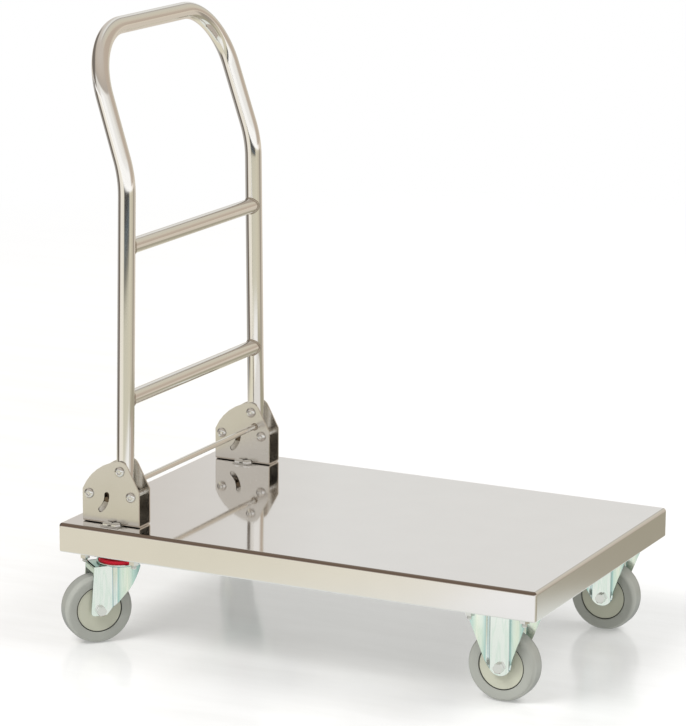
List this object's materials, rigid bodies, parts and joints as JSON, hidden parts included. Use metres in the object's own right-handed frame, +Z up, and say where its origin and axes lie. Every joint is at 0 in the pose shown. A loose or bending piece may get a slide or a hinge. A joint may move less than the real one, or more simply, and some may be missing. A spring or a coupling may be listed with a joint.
{
  "type": "platform trolley",
  "caption": "Flat steel platform trolley with a tube push handle that folds down over the deck, two swivel castors at the handle end and two fixed castors at the free end.",
  "frame": {"origin": "on the floor under the middle of the platform", "axes": "+X from the handle end to the free end, +Y across to the far side, +Z up"},
  "size_m": [0.74, 0.5196, 0.885],
  "materials": {
    "deck_sheet": "polished stainless sheet, near mirror",
    "satin_sheet": "satin stainless sheet",
    "channel_sheet": "mill-finish stainless sheet",
    "polished_tube": "mirror-polished stainless tube",
    "zinc_steel": "bright zinc-plated pressed steel",
    "bolt_steel": "bright turned steel fastener",
    "tyre_rubber": "smooth grey non-marking rubber",
    "hub_plastic": "moulded warm grey plastic",
    "seal_plastic": "glossy red moulded plastic"
  },
  "bodies": {
    "root": {"deck_tray": "deck_sheet", "castor_channel_rear": "channel_sheet", "castor_channel_front": "channel_sheet", "middle_stiffener": "channel_sheet", "tie_rod": "polished_tube", "castor_plate_rear_near": "zinc_steel", "kingpin_rear_near": "bolt_steel", "rigid_fork_front_near": "zinc_steel", "axle_sleeve_front_near": "bolt_steel", "axle_bolt_front_near": "bolt_steel", "axle_nut_front_near": "bolt_steel", "hinge_bracket_near": "satin_sheet", "pivot_bolt_near": "bolt_steel", "latch_bolt_near": "bolt_steel", "stop_bolt_near": "bolt_steel", "stop_sleeve_near": "bolt_steel", "deck_bolt_near_1": "bolt_steel", "deck_bolt_near_2": "bolt_steel", "deck_bolt_near_3": "bolt_steel", "deck_bolt_near_4": "bolt_steel", "castor_plate_rear_far": "zinc_steel", "kingpin_rear_far": "bolt_steel", "rigid_fork_front_far": "zinc_steel", "axle_sleeve_front_far": "bolt_steel", "axle_bolt_front_far": "bolt_steel", "axle_nut_front_far": "bolt_steel", "hinge_bracket_far": "satin_sheet", "pivot_bolt_far": "bolt_steel", "latch_bolt_far": "bolt_steel", "stop_bolt_far": "bolt_steel", "stop_sleeve_far": "bolt_steel", "deck_bolt_far_1": "bolt_steel", "deck_bolt_far_2": "bolt_steel", "deck_bolt_far_3": "bolt_steel", "deck_bolt_far_4": "bolt_steel"},
    "handle": {"handle_tube": "polished_tube", "lower_rung": "polished_tube", "upper_rung": "polished_tube"},
    "swivel_near": {"swivel_fork_rear_near": "zinc_steel", "seal_ring_rear_near": "seal_plastic", "axle_sleeve_rear_near": "bolt_steel", "axle_bolt_rear_near": "bolt_steel", "axle_nut_rear_near": "bolt_steel"},
    "wheel_rear_near": {"tyre_rear_near": "tyre_rubber", "hub_rear_near": "hub_plastic"},
    "wheel_front_near": {"tyre_front_near": "tyre_rubber", "hub_front_near": "hub_plastic"},
    "latch_near": {"latch_lever_near": "bolt_steel"},
    "swivel_far": {"swivel_fork_rear_far": "zinc_steel", "seal_ring_rear_far": "seal_plastic", "axle_sleeve_rear_far": "bolt_steel", "axle_bolt_rear_far": "bolt_steel", "axle_nut_rear_far": "bolt_steel"},
    "wheel_rear_far": {"tyre_rear_far": "tyre_rubber", "hub_rear_far": "hub_plastic"},
    "wheel_front_far": {"tyre_front_far": "tyre_rubber", "hub_front_far": "hub_plastic"},
    "latch_far": {"latch_lever_far": "bolt_steel"}
  },
  "joints": [
    {"name": "handle_fold", "type": "hinge", "parent": "root", "child": "handle", "pos_m": [-0.2836, 0, 0.2548], "axis": [0, 1, 0], "range_deg": [0, 90]},
    {"name": "swivel_turn_near", "type": "hinge", "parent": "root", "child": "swivel_near", "pos_m": [-0.3, -0.188, 0.1], "axis": [0, 0, 1], "continuous": true},
    {"name": "wheel_spin_rear_near", "type": "hinge", "parent": "swivel_near", "child": "wheel_rear_near", "pos_m": [-0.32399, -0.21484, 0.05], "axis": [-0.7455, 0.6665, 0], "continuous": true},
    {"name": "wheel_spin_front_near", "type": "hinge", "parent": "root", "child": "wheel_front_near", "pos_m": [0.302, -0.1835, 0.05], "axis": [0, 1, 0], "continuous": true},
    {"name": "latch_turn_near", "type": "hinge", "parent": "root", "child": "latch_near", "pos_m": [-0.3338, -0.199, 0.2178], "axis": [0, 1, 0], "range_deg": [0, 36]},
    {"name": "swivel_turn_far", "type": "hinge", "parent": "root", "child": "swivel_far", "pos_m": [-0.3, 0.188, 0.1], "axis": [0, 0, 1], "continuous": true},
    {"name": "wheel_spin_rear_far", "type": "hinge", "parent": "swivel_far", "child": "wheel_rear_far", "pos_m": [-0.32399, 0.21484, 0.05], "axis": [0.7455, 0.6665, 0], "continuous": true},
    {"name": "wheel_spin_front_far", "type": "hinge", "parent": "root", "child": "wheel_front_far", "pos_m": [0.302, 0.1835, 0.05], "axis": [0, 1, 0], "continuous": true},
    {"name": "latch_turn_far", "type": "hinge", "parent": "root", "child": "latch_far", "pos_m": [-0.3338, 0.199, 0.2178], "axis": [0, 1, 0], "range_deg": [0, 36]}
  ],
  "couplings": [
    {"joint": "latch_turn_near", "follows": "handle_fold", "ratio": 0.4},
    {"joint": "latch_turn_far", "follows": "handle_fold", "ratio": 0.4}
  ]
}
